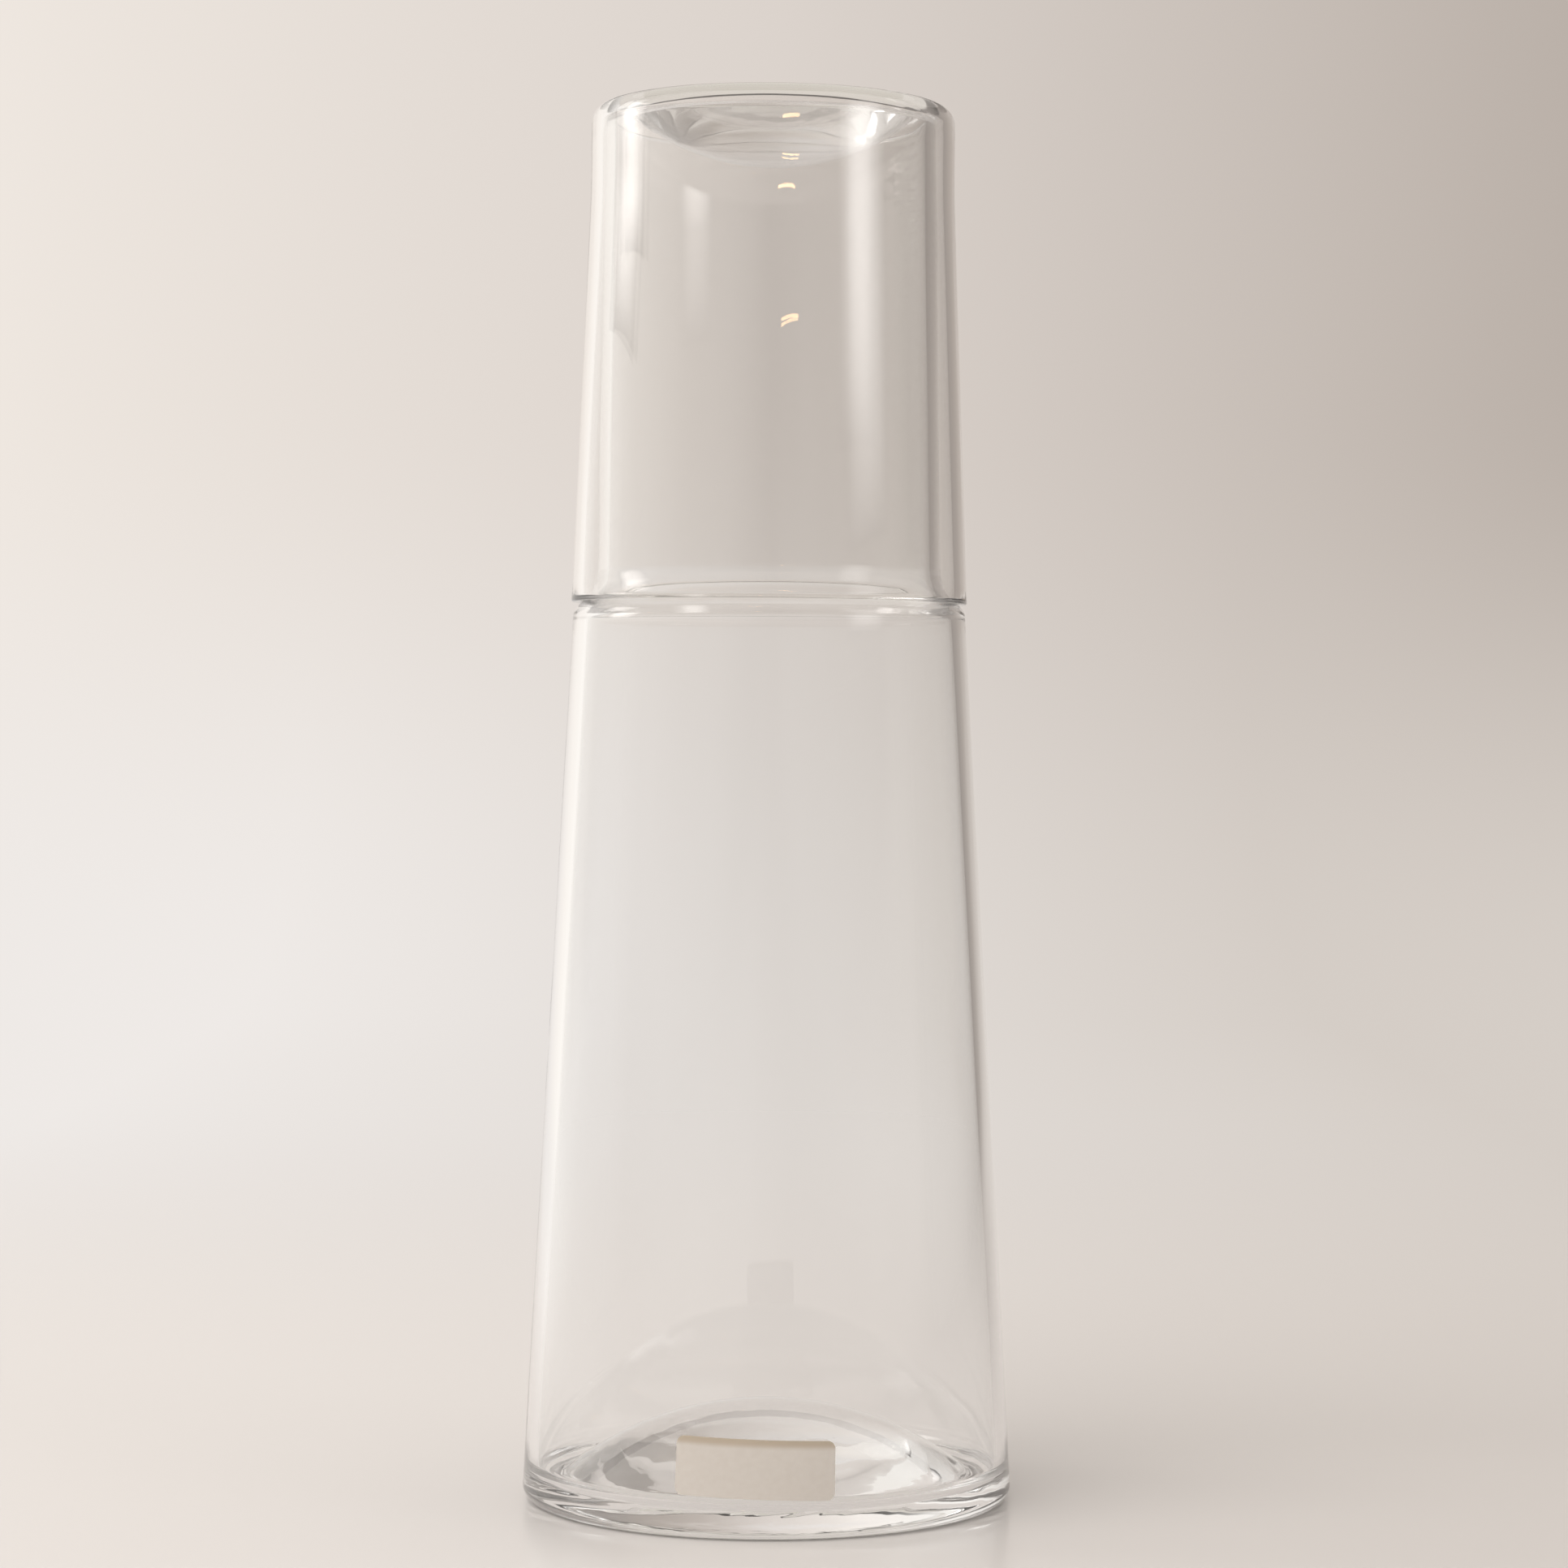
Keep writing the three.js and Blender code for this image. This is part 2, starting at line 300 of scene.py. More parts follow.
def carafe_outline():
    """Half the section of the carafe."""
    body_low = at(foot_radius, heel_radius)
    body_high = at(shoulder_radius, shoulder_height)
    neck_rise = (shoulder_radius - neck_foot_radius) * math.tan(shoulder_slope)
    neck_low = at(neck_foot_radius, shoulder_height + neck_rise)
    neck_high = at(neck_mouth_radius, mouth_height)
    lean = math.atan2(foot_radius - shoulder_radius, shoulder_height - heel_radius)
    outline, tip = foot_strokes(foot_radius, heel_radius, standing_ring, punt_edge, punt_depth, lean)
    tip = corner(outline, tip, body_high, neck_low, shoulder_edge)
    tip = corner(outline, tip, neck_low, neck_high, neck_cove)
    inner_low = body_low - at(body_wall, 0)
    shoulder_drop = body_wall * (1 - math.sin(shoulder_slope)) / math.cos(shoulder_slope)
    inner_high = body_high - at(body_wall, shoulder_drop)
    inner_foot_radius = neck_foot_radius - neck_wall
    inner_rise = (inner_high.x - inner_foot_radius) * math.tan(shoulder_slope)
    inner_foot = at(inner_foot_radius, inner_high.z + inner_rise)
    tip = lip_strokes(outline, tip, neck_high, neck_high - at(neck_wall, 0), inner_foot)
    tip = corner(outline, tip, inner_foot, inner_high, neck_cove + neck_wall)
    tip = corner(outline, tip, inner_high, inner_low, shoulder_edge)
    floor_strokes(outline, tip, inner_high, inner_low, floor_thickness, floor_corner, floor_rise)
    return outline


# %% Make the carafe
carafe_glass = turned(carafe_outline())
blow(carafe_glass, 0.012 * MM, waves_round=9, wave_length=45 * MM, still_height=12 * MM, shift=0)
blow(carafe_glass, 0.01 * MM, waves_round=40, wave_length=90 * MM, still_height=12 * MM, shift=7)
swirl(carafe_glass, 0.06 * MM, waves_round=5, ring_width=4 * MM, twist=25, still_height=3 * MM, shift=3)
swirl(carafe_glass, 0.03 * MM, waves_round=60, ring_width=40 * MM, twist=80, still_height=1 * MM, shift=9)
carafe = finished("blown_carafe", carafe_glass)
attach(carafe, "carafe")
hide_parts("carafe")

# %% [markdown]
# ## The tumbler
# The tumbler is blown like the carafe, and its inside fits over the neck. It could be drawn hanging from
# the top of the set, but the strokes for a foot draw upwards. So it is drawn standing on its own foot, and
# then turned over on to the shoulder. It stands there loose and made by hand, so it leans a little: less
# than its clearance round the neck.

# %% Tumbler sizes
tumbler_wall = 2 * MM
tumbler_heel = 3.2 * MM
tumbler_ring = 1.5 * MM
tumbler_punt_edge = 2.5 * MM
tumbler_punt_depth = 7.4 * MM
tumbler_floor = 1 * MM
tumbler_corner = 2.6 * MM
tumbler_rise = 9.4 * MM
tumbler_even = 15 * MM
tumbler_bend = 200 * MM
neck_clearance = 0.8 * MM
tumbler_lean = math.radians(0.35)

# %% Tumbler outline


def tumbler_outline():
    """Half the section of the tumbler, standing on its foot."""
    foot = at(neck_mouth_radius + neck_clearance + tumbler_wall, 0)
    even = foot + at(0, tumbler_even)
    rim = at(rim_radius, tumbler_top - rim_height)
    inward = at(tumbler_wall, 0)
    outline, tip = foot_strokes(foot.x, tumbler_heel, tumbler_ring, tumbler_punt_edge, tumbler_punt_depth,
                                lean=0)
    tip = corner(outline, tip, even, rim, tumbler_bend)
    tip = lip_strokes(outline, tip, rim, rim - inward, even - inward)
    tip = corner(outline, tip, even - inward, foot - inward, tumbler_bend)
    floor_strokes(outline, tip, even - inward, foot - inward, tumbler_floor, tumbler_corner, tumbler_rise)
    return outline


# %% Make the tumbler
tumbler_glass = turned(tumbler_outline())
blow(tumbler_glass, 0.012 * MM, waves_round=8, wave_length=35 * MM, still_height=30 * MM, shift=20)
blow(tumbler_glass, 0.01 * MM, waves_round=36, wave_length=70 * MM, still_height=30 * MM, shift=27)
turn_over = Matrix.Translation((0, 0, tumbler_top)) @ Matrix.Rotation(math.pi, 4, "X")
bmesh.ops.transform(tumbler_glass, matrix=turn_over, verts=tumbler_glass.verts[:])
bmesh.ops.rotate(tumbler_glass, cent=(0, 0, rim_height), matrix=Matrix.Rotation(tumbler_lean, 3, "Y"),
                 verts=tumbler_glass.verts[:])
tumbler = finished("blown_tumbler", tumbler_glass)
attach(tumbler, "tumbler")
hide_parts("tumbler")

# %% [markdown]
# ## The label
# A small paper sticker sits near the foot, a little askew. It could be a patch of colour on the glass, but
# paper has an edge and a back that show through clear glass. It starts as one flat rectangle: a vertex
# bevel rounds its corners, upright cuts let it bend, and solidify gives it the thickness of paper. Then
# each vertex is laid on the tapered body.

# %% Label sizes
label_width = 27 * MM
label_height = 9.8 * MM
label_corner = 1.3 * MM
label_thickness = 0.12 * MM
label_gap = 0.1 * MM
label_middle = 11.9 * MM
label_turn = math.radians(-2.4)
label_tilt = math.radians(-1.7)
label_strip = 0.75 * MM

# %% Flat label


def flat_label():
    """The label before it is stuck on: a thin sheet with round corners, cut into strips."""
    sheet = bmesh.new()
    half_width = label_width / 2
    half_height = label_height / 2
    ends = ((-1, -1), (1, -1), (1, 1), (-1, 1))
    corners = [sheet.verts.new((x * half_width, y * half_height, 0)) for x, y in ends]
    sheet.faces.new(corners)
    bmesh.ops.bevel(sheet, geom=corners, offset=label_corner, segments=6, profile=0.5, affect="VERTICES",
                    material=-1)
    cuts = math.floor(half_width / label_strip)
    for cut in range(-cuts, cuts + 1):
        everything = sheet.verts[:] + sheet.edges[:] + sheet.faces[:]
        bmesh.ops.bisect_plane(sheet, geom=everything, plane_co=(cut * label_strip, 0, 0),
                               plane_no=(1, 0, 0))
    bmesh.ops.solidify(sheet, geom=sheet.faces[:], thickness=label_thickness)
    print(f"label: {label_width / MM:.1f} by {label_height / MM:.1f} mm, cut {2 * cuts + 1} times")
    return sheet


# %% Make the label


def on_body(along, up, lift):
    """The place on the tapered body for a place on the flat label."""
    height = label_middle + along * math.sin(label_tilt) + up * math.cos(label_tilt)
    round_way = along * math.cos(label_tilt) - up * math.sin(label_tilt)
    angle = label_turn - math.pi / 2 + round_way / foot_radius
    taper = (foot_radius - shoulder_radius) / (shoulder_height - heel_radius)
    radius = foot_radius - (height - heel_radius) * taper + lift
    return Vector((radius * math.cos(angle), radius * math.sin(angle), height))


label_sheet = flat_label()
lowest = min(point.co.z for point in label_sheet.verts)
for point in label_sheet.verts:
    point.co = on_body(point.co.x, point.co.y, point.co.z - lowest + label_gap)
bmesh.ops.recalc_face_normals(label_sheet, faces=label_sheet.faces[:])
label = finished("paper_label", label_sheet)
label.data.shade_flat()
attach(label, "carafe")
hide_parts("label")

# %% [markdown]
# ## Small helpers for materials
# Every material here is a tree of nodes, and the same few nodes come back: a sum, a soft step, a blend of
# two tones, a blend of two surfaces, and a row of tones. Each gets a helper that makes the node, joins its
# inputs and gives back its output. All patterns read the piece's own coordinates, so they stay put when it
# moves.

# %% New material and its coordinates


def new_material(name):
    """A new material with its nodes and links."""
    material = bpy.data.materials.new(name)
    material.use_nodes = True
    return material, material.node_tree.nodes, material.node_tree.links


def own_place(nodes):
    """The piece's own coordinates."""
    return nodes.new("ShaderNodeTexCoord").outputs["Object"]


def apart(nodes, links, place):
    """The X, Y and Z of a place."""
    parts = nodes.new("ShaderNodeSeparateXYZ")
    links.new(place, parts.inputs["Vector"])
    return parts.outputs


# %% Numbers from nodes


def math_node(nodes, links, kind, first, second):
    """A Math node of a kind, with each input a number or another node's output."""
    node = nodes.new("ShaderNodeMath")
    node.operation = kind
    for socket, value in zip(node.inputs, (first, second)):
        if isinstance(value, (int, float)):
            socket.default_value = value
        else:
            links.new(value, socket)
    return node.outputs["Value"]


def rise(nodes, links, value, low, high, kind="SMOOTHSTEP"):
    """A number that rises from 0 to 1 while a value goes from low to high."""
    node = nodes.new("ShaderNodeMapRange")
    node.interpolation_type = kind
    node.inputs["From Min"].default_value = low
    node.inputs["From Max"].default_value = high
    links.new(value, node.inputs["Value"])
    return node.outputs["Result"]


# %% Tones and surfaces from nodes


def tone_row(nodes, links, share, tones):
    """A row of tones, at places from 0 to 1, read at a share."""
    ramp = nodes.new("ShaderNodeValToRGB")
    stops = ramp.color_ramp.elements
    stops[0].color = tones[0]
    stops[1].color = tones[1]
    for position, tone in tones.items():
        if 0 < position < 1:
            stops.new(position).color = tone
    links.new(share, ramp.inputs["Fac"])
    return ramp.outputs["Color"]


def tone_blend(nodes, links, share, first, second):
    """A blend of two tones, each one written down or another node's output."""
    blend = nodes.new("ShaderNodeMix")
    blend.data_type = "RGBA"
    links.new(share, blend.inputs["Factor"])
    for socket, tone in (("A", first), ("B", second)):
        if isinstance(tone, tuple):
            blend.inputs[socket].default_value = tone
        else:
            links.new(tone, blend.inputs[socket])
    return blend.outputs["Result"]


def surface_blend(nodes, links, share, first, second):
    """A blend of two surfaces."""
    blend = nodes.new("ShaderNodeMixShader")
    links.new(share, blend.inputs["Fac"])
    links.new(first, blend.inputs[1])
    links.new(second, blend.inputs[2])
    return blend.outputs["Shader"]


# %% [markdown]
# ## Glass
# Clear soda glass bends light with an index of about 1.52. It has hardly any colour, but a hand-blown wall
# is not optically flat: faint cords run up it. A stretched noise makes those cords as a very weak bump, and
# another noise leaves the surface a hair less sharp in places, as handling does. On the right of the neck
# are the level ridges of a tool that held it as it turned. They are so shallow that a bump is enough for
# them.

# %% Tool ridges
ridge_pitch = 1.9 * MM
ridge_depth = 0.03 * MM
ridge_bottom = 210 * MM
ridge_fade = 8 * MM
ridge_side = (0.8 * neck_mouth_radius, 0.95 * neck_mouth_radius)
ridge_back = (3 * MM, 8 * MM)


def tool_ridges(nodes, links, place, cords):
    """Fine level ridges on the right of the neck near its mouth, added to the cords."""
    parts = apart(nodes, links, place)
    turn = math_node(nodes, links, "MULTIPLY", parts["Z"], math.tau / ridge_pitch)
    wave = math_node(nodes, links, "SINE", turn, 0)
    side = rise(nodes, links, parts["X"], *ridge_side)
    back = rise(nodes, links, parts["Y"], *ridge_back)
    side = math_node(nodes, links, "MULTIPLY", side, back)
    high = rise(nodes, links, parts["Z"], ridge_bottom, ridge_bottom + ridge_fade)
    patch = math_node(nodes, links, "MULTIPLY", side, high)
    ridges = nodes.new("ShaderNodeBump")
    ridges.inputs["Distance"].default_value = ridge_depth
    links.new(math_node(nodes, links, "MULTIPLY", wave, patch), ridges.inputs["Height"])
    links.new(cords, ridges.inputs["Normal"])
    return ridges.outputs["Normal"]


print(f"ridges: {ridge_pitch / MM:.1f} mm apart, from {ridge_bottom / MM:.0f} mm up")

# %% Cords and smears


def noise_node(nodes, links, place, scale, detail):
    """A noise that is read at a place."""
    grain = nodes.new("ShaderNodeTexNoise")
    grain.inputs["Scale"].default_value = scale
    grain.inputs["Detail"].default_value = detail
    links.new(place, grain.inputs["Vector"])
    return grain.outputs["Fac"]


def glass_cords(nodes, links, place, cord_scale, cord_depth):
    """Faint cords that run up the wall: a noise squeezed to each side, as a bump."""
    stretch = nodes.new("ShaderNodeMapping")
    stretch.inputs["Scale"].default_value = cord_scale
    links.new(place, stretch.inputs["Vector"])
    bump = nodes.new("ShaderNodeBump")
    bump.inputs["Strength"].default_value = 1
    bump.inputs["Distance"].default_value = cord_depth
    cords = noise_node(nodes, links, stretch.outputs["Vector"], scale=1, detail=1)
    links.new(cords, bump.inputs["Height"])
    return bump.outputs["Normal"]


def smear_roughness(nodes, links, place):
    """Places that handling left a hair less sharp."""
    handled = nodes.new("ShaderNodeMapRange")
    handled.inputs["From Min"].default_value = 0.5
    handled.inputs["From Max"].default_value = 0.8
    handled.inputs["To Min"].default_value = 0
    handled.inputs["To Max"].default_value = 0.02
    links.new(noise_node(nodes, links, place, scale=70, detail=3), handled.inputs["Value"])
    return handled.outputs["Result"]


# %% Glass material
carafe_tone = (0.997, 0.998, 0.997, 1)
carafe_cords = (150, 150, 12)
tumbler_tone = (0.975, 0.967, 0.960, 1)
tumbler_cords = (220, 220, 12)


def blown_glass(name, tone, cord_scale, cord_depth, ridged):
    """Clear glass with faint cords in its surface, and with tool ridges where they are asked for."""
    material, nodes, links = new_material(name)
    glass = nodes["Principled BSDF"]
    glass.inputs["Base Color"].default_value = tone
    glass.inputs["Transmission Weight"].default_value = 1
    glass.inputs["IOR"].default_value = 1.52
    place = own_place(nodes)
    surface = glass_cords(nodes, links, place, cord_scale, cord_depth)
    if ridged:
        surface = tool_ridges(nodes, links, place, surface)
    links.new(surface, glass.inputs["Normal"])
    links.new(smear_roughness(nodes, links, place), glass.inputs["Roughness"])
    print(f"{name}: {len(nodes)} nodes")
    return material


carafe_look = blown_glass("carafe_glass", carafe_tone, carafe_cords, 0.012 * MM, ridged=True)
carafe.data.materials.append(carafe_look)
tumbler_look = blown_glass("tumbler_glass", tumbler_tone, tumbler_cords, 0.02 * MM, ridged=False)
tumbler.data.materials.append(tumbler_look)

# %% [markdown]
# ## Paper
# The label is cream satin paper, thin enough to let some light through, with a browner upper edge, where
# the glue has aged. The edge could be painted on, but the label is askew, so a formula is simpler: the edge
# follows a tilted line, a height plus a share of the way across.

# %% Paper material
paper_dark = (0.86, 0.80, 0.735, 1)
paper_light = (0.95, 0.90, 0.84, 1)
paper_aged = (0.70, 0.60, 0.48, 1)
aged_width = 1.8 * MM
aged_core = 0.6 * MM


def label_paper():
    """Cream satin paper, a little see-through, with a browner upper edge."""
    material, nodes, links = new_material("label_paper")
    paper = nodes["Principled BSDF"]
    paper.inputs["Roughness"].default_value = 0.5
    paper.inputs["Transmission Weight"].default_value = 0.3
    place = own_place(nodes)
    parts = apart(nodes, links, place)
    fibres = noise_node(nodes, links, place, scale=900, detail=4)
    cream = tone_blend(nodes, links, fibres, paper_dark, paper_light)
    slant = math_node(nodes, links, "MULTIPLY", parts["X"], -math.tan(label_tilt))
    height = math_node(nodes, links, "ADD", parts["Z"], slant)
    upper_edge = label_middle + label_height / 2
    aged = rise(nodes, links, height, upper_edge - aged_width, upper_edge - aged_core)
    links.new(tone_blend(nodes, links, aged, cream, paper_aged), paper.inputs["Base Color"])
    print(f"label_paper: {len(nodes)} nodes")
    return material


label.data.materials.append(label_paper())

# %% [markdown]
# ## Studio
# Glass is seen by what stands round it, so the studio is part of the picture. Flat cards could stand on
# each side, but their edges would show in the glass as hard lines. A round backdrop that curves up from the
# floor all the way round has no edges.

# %% Backdrop shape
floor_drop = 0.1 * MM
floor_reach = 1.2
sweep_radius = 0.4
sweep_steps = 16
backdrop_height = 1.5


def backdrop_outline():
    """Half the section of the backdrop: level floor, round sweep and upright wall."""
    outline, tip = start(at(0, -floor_drop))
    tip = bmesh.ops.extrude_vert_indiv(outline, verts=[tip])["verts"][0]
    tip.co = at(floor_reach, -floor_drop)
    sweep = bmesh.ops.spin(outline, geom=[tip], cent=at(floor_reach, sweep_radius - floor_drop),
                           axis=(0, -1, 0), angle=math.pi / 2, steps=sweep_steps)
    tip = bmesh.ops.extrude_vert_indiv(outline, verts=[sweep["geom_last"][0]])["verts"][0]
    tip.co.z = backdrop_height
    return outline


backdrop_shell = turned(backdrop_outline())
backdrop = finished("backdrop", backdrop_shell)

# %% [markdown]
# The wall glows white on the left, falls to grey on the right and is dark behind the camera, which gives
# the glass its bright left edge and its dark right edge. Higher up at the back it has a dark gap with an
# even wall above it. The camera doesn't see the gap, but the thick glass at the tumbler's top bends it into
# view as a thin dark line.

# %% Wall
wall_tones = {
    -180: (0.1, 0.09, 0.08, 1),
    -155: (0.4, 0.38, 0.355, 1),
    -125: (0.55, 0.52, 0.485, 1),
    -90: (0.92, 0.885, 0.84, 1),
    -45: (1.0, 0.97, 0.925, 1),
    -22: (0.96, 0.90, 0.845, 1),
    -15: (0.85, 0.79, 0.735, 1),
    0: (0.71, 0.65, 0.605, 1),
    15: (0.50, 0.443, 0.40, 1),
    25: (0.43, 0.38, 0.34, 1),
    40: (0.33, 0.295, 0.27, 1),
    90: (0.25, 0.23, 0.21, 1),
    180: (0.1, 0.09, 0.08, 1),
}
upper_wall = (0.72, 0.675, 0.62, 1)
gap_bottom = 0.77
gap_top = 0.93
gap_edge = 0.06
gap_light = 0.12
gap_ends = (1.5, 0.9)


def wall_glow(nodes, links, parts):
    """The glow of the wall: tones round the compass, and a dark gap at the back with an even wall above."""
    compass = math_node(nodes, links, "ARCTAN2", parts["X"], parts["Y"])
    share = rise(nodes, links, compass, -math.pi, math.pi, "LINEAR")
    shares = {0.5 + degrees / 360: tone for degrees, tone in wall_tones.items()}
    tones = tone_row(nodes, links, share, shares)
    above_gap = rise(nodes, links, parts["Z"], gap_top, gap_top + gap_edge)
    below_gap = rise(nodes, links, parts["Z"], gap_bottom, gap_bottom - gap_edge)
    past_gap = rise(nodes, links, parts["Y"], *gap_ends)
    strength = math_node(nodes, links, "MAXIMUM", below_gap, above_gap)
    for least in (past_gap, gap_light):
        strength = math_node(nodes, links, "MAXIMUM", strength, least)
    glow = nodes.new("ShaderNodeEmission")
    links.new(tone_blend(nodes, links, above_gap, tones, upper_wall), glow.inputs["Color"])
    links.new(strength, glow.inputs["Strength"])
    return glow.outputs["Emission"]


print(f"wall: {len(wall_tones)} tones, and a gap from {gap_bottom} to {gap_top} m up")

# %% [markdown]
# The floor near the object is real paper, so that the object throws a shadow on it. Seen through glass it
# is mostly a glow of painted light: brighter on the left and darker on the right, as the light falls,
# dimmer towards the camera as painted shade, and with no shadow under the glass, because the shadow under a
# glass is never as dark as a renderer makes it. Further back the floor glows too and runs into the wall
# without a seam.

# %% Floor
floor_paper = (0.70, 0.67, 0.655, 1)
# Painted light: the tones that glass shows in place of the lit floor, bright on the left and darker to the
# right.
floor_painted_light_in_glass = {
    0: (1.0, 0.96, 0.915, 1),
    0.33: (0.76, 0.70, 0.655, 1),
    0.67: (0.72, 0.66, 0.615, 1),
    1: (0.45, 0.41, 0.38, 1),
}
floor_tones_reach = 0.25
glass_share = 0.8
front_floor_fall = 0.35
front_floor_ends = (-0.05, -0.3)


def near_floor(nodes, links, parts, across):
    """Lit paper, that glass shows mostly as a glow of painted light, brighter on the left, darker on the
    right and dimmer towards the camera as painted shade.
    """
    paper = nodes["Principled BSDF"]
    paper.inputs["Base Color"].default_value = floor_paper
    paper.inputs["Roughness"].default_value = 0.22
    pale = nodes.new("ShaderNodeEmission")
    links.new(tone_row(nodes, links, across, floor_painted_light_in_glass), pale.inputs["Color"])
    # Painted shade: the glow seen through glass is dimmer towards the camera.
    nearer = rise(nodes, links, parts["Y"], *front_floor_ends)
    dimmer = math_node(nodes, links, "MULTIPLY", nearer, front_floor_fall)
    links.new(math_node(nodes, links, "SUBTRACT", 1, dimmer), pale.inputs["Strength"])
    path = nodes.new("ShaderNodeLightPath").outputs["Is Transmission Ray"]
    through_glass = math_node(nodes, links, "MULTIPLY", path, glass_share)
    return surface_blend(nodes, links, through_glass, paper.outputs["BSDF"], pale.outputs["Emission"])


print(f"floor: its tones change over {2 * floor_tones_reach} m")

# %% Far floor
far_floor_left = (0.86, 0.822, 0.795, 1)
far_floor_right = (0.665, 0.613, 0.568, 1)
far_floor_ends = (0.05, 0.75)


def whole_floor(nodes, links, parts):
    """The near floor, which runs over into a glowing far floor behind the object."""
    across = rise(nodes, links, parts["X"], -floor_tones_reach, floor_tones_reach, "LINEAR")
    near = near_floor(nodes, links, parts, across)
    far = nodes.new("ShaderNodeEmission")
    links.new(tone_blend(nodes, links, across, far_floor_left, far_floor_right), far.inputs["Color"])
    behind = rise(nodes, links, parts["Y"], *far_floor_ends)
    return surface_blend(nodes, links, behind, near, far.outputs["Emission"])


print(f"far floor: from {far_floor_ends[0]} to {far_floor_ends[1]} m behind the axis")

# %% [markdown]
# The wall's tones also lie on the floor to each side, out of the camera's view. The lower edges of the
# carafe look there, and so they stay bright on the left and dark on the right down to the foot.

# %% Backdrop material
wall_foot_ends = (0, 0.32)
view_spread = 0.2
side_floor_ends = (0.17, 0.5)
side_floor_front = (-0.3, 0)


def wall_share(nodes, links, parts):
    """Where the wall's tones show: up the sweep, and on the floor to each side of the camera's view."""
    upright = rise(nodes, links, parts["Z"], *wall_foot_ends)
    aside = math_node(nodes, links, "ABSOLUTE", parts["X"], 0)
    view_edge = math_node(nodes, links, "MULTIPLY", parts["Y"], view_spread)
    out_of_view = math_node(nodes, links, "SUBTRACT", aside, view_edge)
    beside = rise(nodes, links, out_of_view, *side_floor_ends)
    not_in_front = rise(nodes, links, parts["Y"], *side_floor_front)
    side_floor = math_node(nodes, links, "MULTIPLY", beside, not_in_front)
    return math_node(nodes, links, "MAXIMUM", upright, side_floor)


def backdrop_paper():
    """Pale paper that is lit as a floor near the object and glows with a side-to-side fall further out."""
    material, nodes, links = new_material("backdrop_paper")
    parts = apart(nodes, links, own_place(nodes))
    floor = whole_floor(nodes, links, parts)
    wall = wall_glow(nodes, links, parts)
    blend = surface_blend(nodes, links, wall_share(nodes, links, parts), floor, wall)
    links.new(blend, nodes["Material Output"].inputs["Surface"])
    print(f"backdrop_paper: {len(nodes)} nodes")
    return material


backdrop.data.materials.append(backdrop_paper())

# %% [markdown]
# ## Light
# Two glowing panels stand to the left and to the right. They show in the tumbler and the neck as soft
# upright reflections, and a plain lamp would show there with hard edges. So each panel is brightest in its
# middle and fades out to its edges.

# %% Panels


def panel_glow(name, radiance, tone):
    """Light that is brightest in the middle of a panel and fades out to its edges."""
    material, nodes, links = new_material(name)
    nodes.remove(nodes["Principled BSDF"])
    parts = apart(nodes, links, own_place(nodes))
    across = math_node(nodes, links, "POWER", parts["X"], 2)
    upright = math_node(nodes, links, "POWER", parts["Y"], 4)
    fade_across = math_node(nodes, links, "SUBTRACT", 1, across)
    fade_upright = math_node(nodes, links, "SUBTRACT", 1, upright)
    fade = math_node(nodes, links, "MULTIPLY", fade_across, fade_upright)
    glow = nodes.new("ShaderNodeEmission")
    glow.inputs["Color"].default_value = (*tone, 1)
    links.new(math_node(nodes, links, "MULTIPLY", fade, radiance), glow.inputs["Strength"])
    links.new(glow.outputs["Emission"], nodes["Material Output"].inputs["Surface"])
    return material


def soft_panel(name, place, aim, width, height, radiance, tone):
    """A glowing panel that faces a place, unseen by the camera itself."""
    sheet = bmesh.new()
    bmesh.ops.create_grid(sheet, x_segments=1, y_segments=1, size=1)
    panel = finished(name, sheet)
    facing = (Vector(aim) - Vector(place)).to_track_quat("Z", "Y")
    panel.matrix_world = Matrix.LocRotScale(Vector(place), facing, Vector((width / 2, height / 2, 1)))
    panel.visible_camera = False
    panel.data.materials.append(panel_glow(name, radiance, tone))


middle = (0, 0, 0.2)
soft_panel("left_panel", (-0.97, 0.24, 0.59), middle, 0.5, 0.5, radiance=5, tone=(1, 0.97, 0.94))
soft_panel("right_panel", (0.87, -0.5, 0.47), middle, 0.5, 0.4, radiance=2.6, tone=(1, 0.98, 0.96))

# %% [markdown]
# A large fill light in front on the left throws the soft shadow to the right. The glass doesn't show it,
# because its picture would cover the panels' reflections. A thin warm strip near the camera makes the small
# glints.

# %% Lamps


def softbox(name, place, aim, width, height, radiance, tone):
    """A rectangular lamp that faces a place. Its power follows from its brightness and its area."""
    lamp = bpy.data.lights.new(name, "AREA")
    lamp.shape = "RECTANGLE"
    lamp.size = width
    lamp.size_y = height
    lamp.energy = math.pi * radiance * width * height
    lamp.color = tone
    holder = bpy.data.objects.new(name, lamp)
    holder.location = place
    holder.rotation_euler = (Vector(aim) - Vector(place)).to_track_quat("-Z", "Y").to_euler()
    holder.visible_camera = False
    bpy.context.scene.collection.objects.link(holder)
    print(f"{name}: {lamp.energy:.2f} W")
    return holder


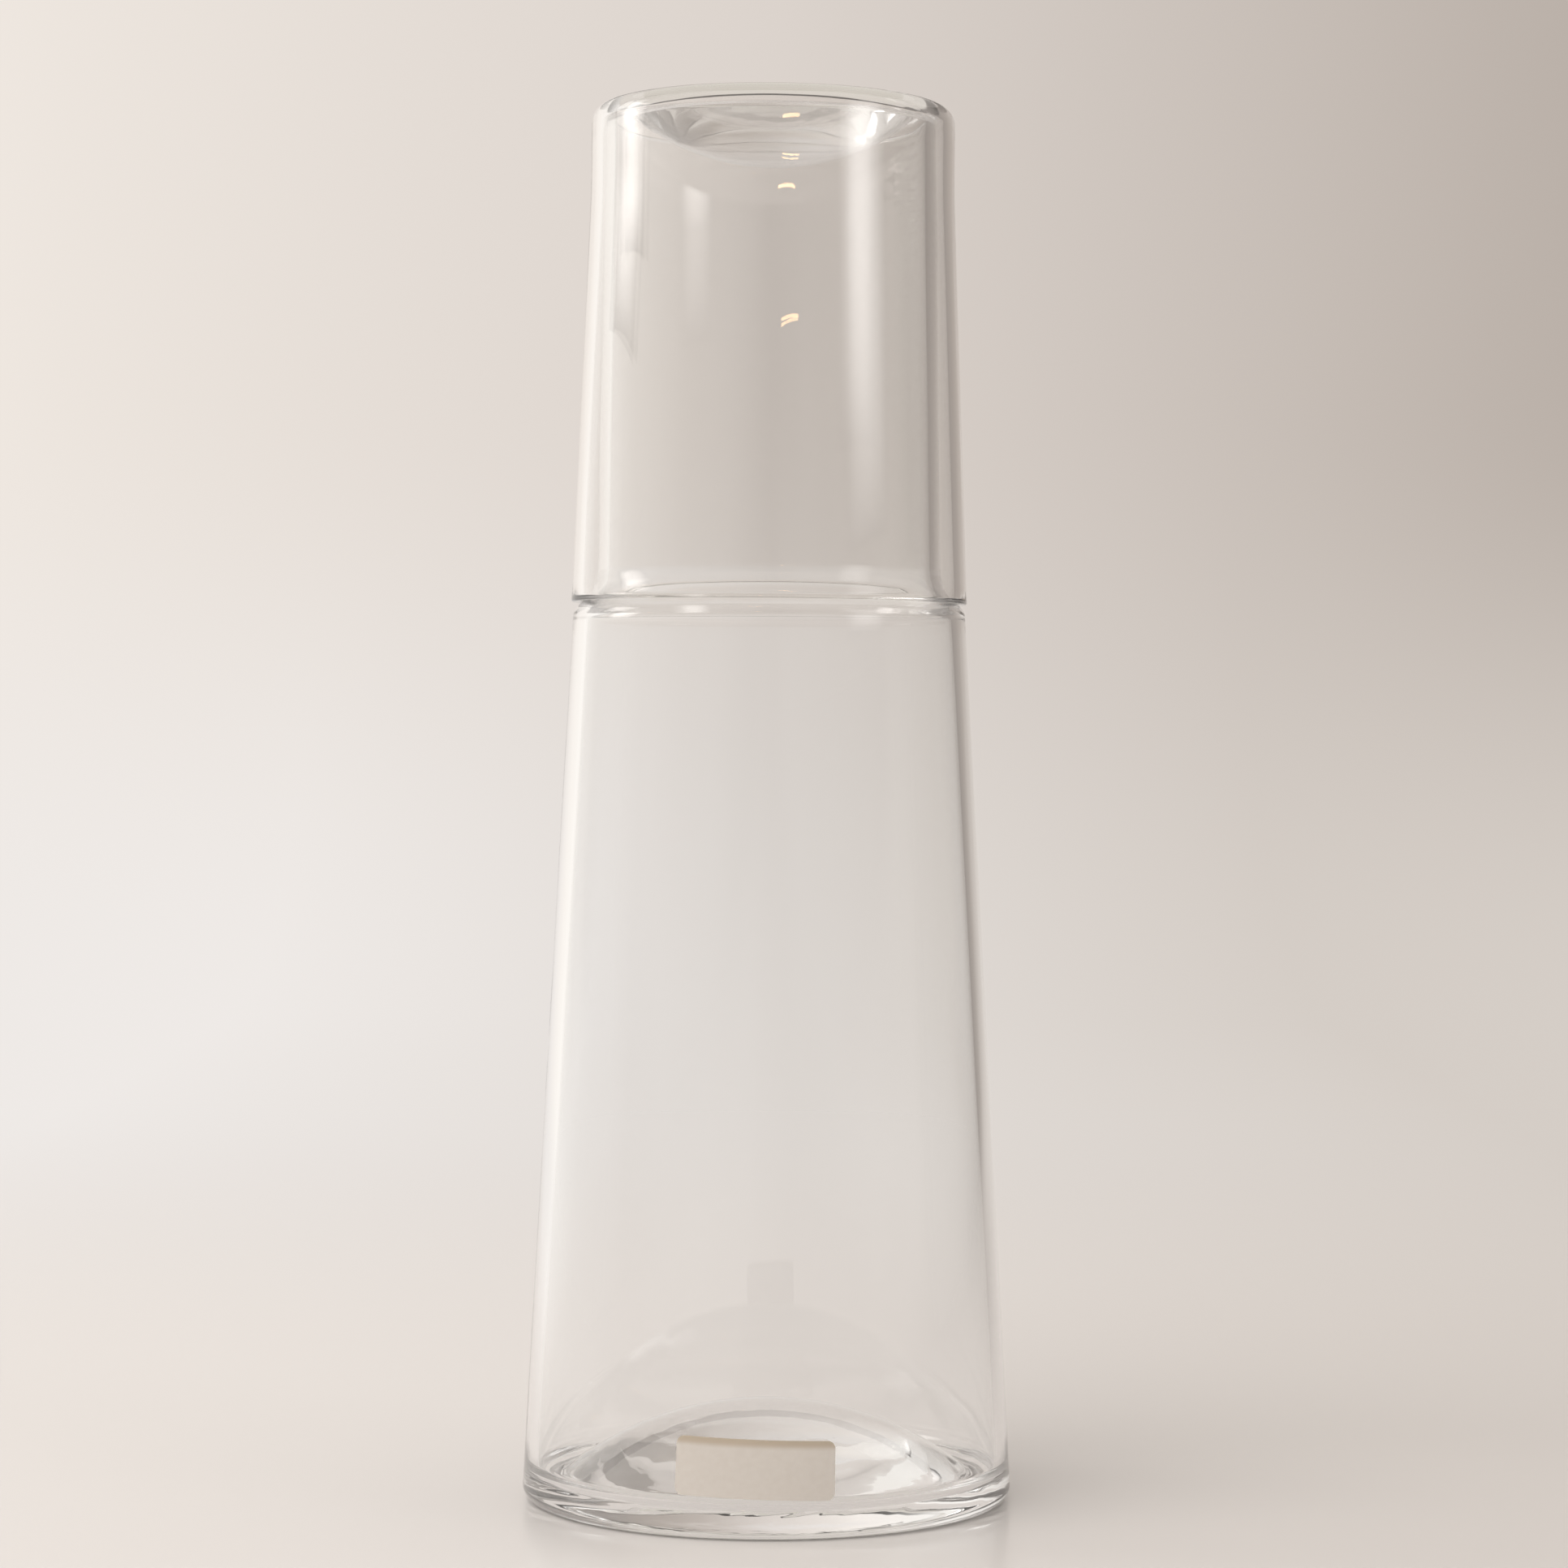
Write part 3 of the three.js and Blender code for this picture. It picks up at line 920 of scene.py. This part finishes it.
fill = softbox("front_fill", (-0.85, -0.9, 1.2), (0, 0, 0), 1.5, 1.5, radiance=2.7, tone=(1, 0.97, 0.94))
fill.visible_glossy = False
fill.visible_transmission = False
softbox("warm_strip", (0.206, -1.06, 0.39), middle, 0.2, 0.0015, radiance=16, tone=(1, 0.6, 0.27))

# %% [markdown]
# The world is the studio's ceiling. It lights the floor at a plain level, and glass shows it as a quieter
# grey, which is what the band across the tumbler's top is made of.

# %% Ceiling
ceiling_light = (0.97, 0.93, 0.877, 1)
ceiling_seen_in_glass = (0.62, 0.58, 0.515, 1)
world = bpy.data.worlds.new("studio_ceiling")
world.use_nodes = True
nodes = world.node_tree.nodes
links = world.node_tree.links
path = nodes.new("ShaderNodeLightPath").outputs["Is Transmission Ray"]
ceiling = tone_blend(nodes, links, path, ceiling_light, ceiling_seen_in_glass)
links.new(ceiling, nodes["Background"].inputs["Color"])
bpy.context.scene.world = world
print(f"{world.name}: {len(nodes)} nodes")

# %% [markdown]
# ## Camera
# The camera stands a little above half the object's height and looks almost level, from far enough away
# that the sides hardly converge. A view from further up would show the rims as rounder rings than they look
# from a chair at the table.

# %% Camera
camera_place = Vector((2.7, -727.6, 133.5)) * MM
camera_pitch = math.radians(0.724)
camera_roll = math.radians(0.179)
camera_lens = bpy.data.cameras.new("camera")
camera_lens.sensor_width = 36
camera_lens.lens = 95.8
camera_lens.clip_start = 0.01
camera = bpy.data.objects.new("camera", camera_lens)
level = Euler((math.pi / 2 - camera_pitch, 0, 0)).to_matrix()
tilted = level @ Matrix.Rotation(camera_roll, 3, "Z")
camera.matrix_world = Matrix.Translation(camera_place) @ tilted.to_4x4()
bpy.context.scene.collection.objects.link(camera)
bpy.context.scene.camera = camera
print(f"camera: {-camera_place.y:.2f} m in front, {camera_place.z / tumbler_top:.0%} of the height up")

# %% [markdown]
# ## Render settings
# Light crosses eight skins of glass where the tumbler covers the neck, and it turns round inside the thick
# edges many times. With few bounces those edges would turn black, so the paths may be long. The plain
# Standard view keeps colours as they are written.

# %% Render paths and view
longest_path = 128
scene = bpy.context.scene
scene.view_settings.view_transform = "Standard"
scene.cycles.max_bounces = longest_path
scene.cycles.transmission_bounces = longest_path
scene.cycles.glossy_bounces = longest_path
